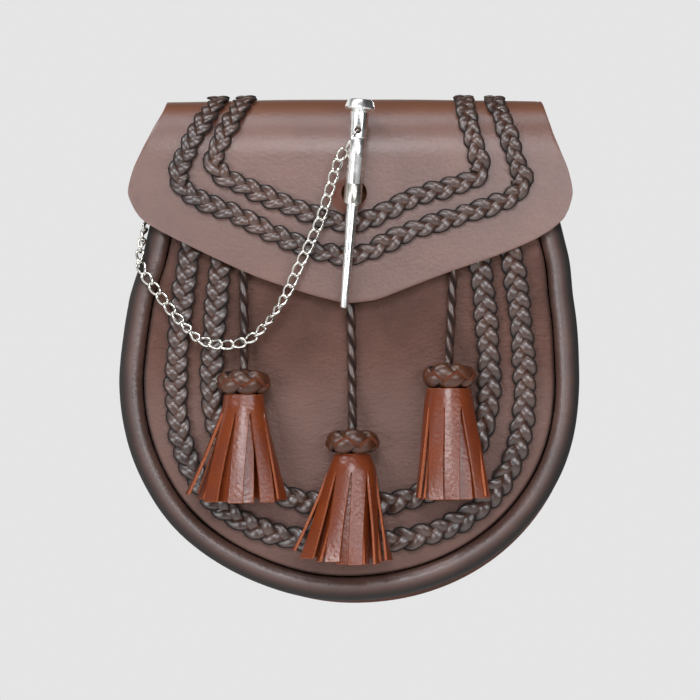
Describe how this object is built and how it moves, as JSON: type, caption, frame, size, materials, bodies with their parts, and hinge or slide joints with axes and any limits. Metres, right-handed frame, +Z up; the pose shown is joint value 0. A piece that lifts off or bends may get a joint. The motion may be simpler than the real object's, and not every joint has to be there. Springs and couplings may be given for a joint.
{
  "type": "sporran pouch",
  "caption": "Leather day sporran: D-shaped kilt pouch with a folded flap, plaited trim, slit tassels and a chained targe pin, hung by belt loops.",
  "frame": {"origin": "on the back panel's outer face, midway between the two belt loops, where the pouch hangs", "axes": "+Z up as worn, +Y backwards out of the back panel towards the wearer, +X to the right seen from the front"},
  "size_m": [0.1882, 0.0691, 0.2111],
  "materials": {
    "front_leather": "smooth dyed cowhide, satin, fine grain",
    "rim_leather": "soft dyed leather rolled over a core, low gloss",
    "braid_leather": "glossy flat thongs, plaited",
    "tassel_leather": "reddish tan leather strips, satin",
    "polished_metal": "polished nickel plate"
  },
  "bodies": {
    "root": {"back_panel": "front_leather", "gusset": "front_leather", "front_panel": "front_leather", "flap": "front_leather", "belt_loop_left": "front_leather", "belt_loop_right": "front_leather", "rolled_rim": "rim_leather", "front_braid_outer": "braid_leather", "front_braid_inner": "braid_leather", "flap_braid_outer": "braid_leather", "flap_braid_inner": "braid_leather", "tassel_cord_left": "braid_leather", "tassel_cord_middle": "braid_leather", "tassel_cord_right": "braid_leather", "tassel_knot_left": "braid_leather", "tassel_knot_middle": "braid_leather", "tassel_knot_right": "braid_leather", "tassel_skirt_left": "tassel_leather", "tassel_skirt_middle": "tassel_leather", "tassel_skirt_right": "tassel_leather", "targe_pin": "polished_metal", "staple": "polished_metal", "chain": "polished_metal", "chain_eye": "polished_metal"}
  },
  "joints": []
}
